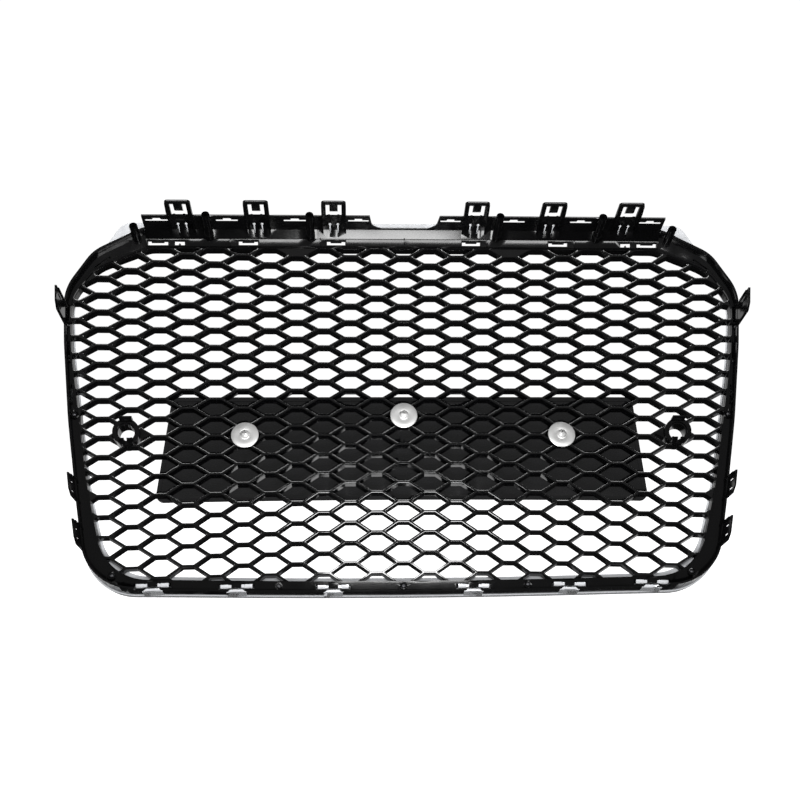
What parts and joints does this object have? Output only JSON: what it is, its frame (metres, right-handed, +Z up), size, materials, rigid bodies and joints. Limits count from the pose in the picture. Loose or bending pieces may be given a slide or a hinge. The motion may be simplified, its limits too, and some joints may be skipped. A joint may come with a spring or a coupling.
{
  "type": "front grille",
  "caption": "Swept honeycomb car front grille in a carrier frame with a bright surround, a top rail of snap tabs and studs, a plate board and two parking sensor brackets.",
  "frame": {"origin": "centre of the bounding box's underside; the grille stands upright as it sits on the car", "axes": "+Z up, -Y towards the front of the car, +Y towards the fixing side, +X to the car's left"},
  "size_m": [0.822, 0.116, 0.4976],
  "materials": {
    "gloss_black": "gloss black moulding",
    "satin_black": "satin black moulding",
    "bright_trim": "chrome-plated moulding, satin at the back",
    "zinc_steel": "bright zinc",
    "black_steel": "black coated screws"
  },
  "bodies": {
    "root": {"honeycomb_mesh": "gloss_black", "carrier_frame": "satin_black", "top_rail": "satin_black", "chrome_surround": "bright_trim", "plate_board": "satin_black", "plate_washer_left": "zinc_steel", "plate_washer_centre": "zinc_steel", "plate_washer_right": "zinc_steel", "plate_screw_left": "zinc_steel", "plate_screw_centre": "zinc_steel", "plate_screw_right": "zinc_steel", "sensor_bracket_left": "satin_black", "sensor_bracket_right": "satin_black", "lower_screw_left": "black_steel", "lower_screw_centre": "black_steel", "lower_screw_right": "black_steel", "corner_screw_left": "black_steel", "corner_screw_right": "black_steel", "side_screw_left": "black_steel", "side_screw_right": "black_steel"}
  },
  "joints": []
}
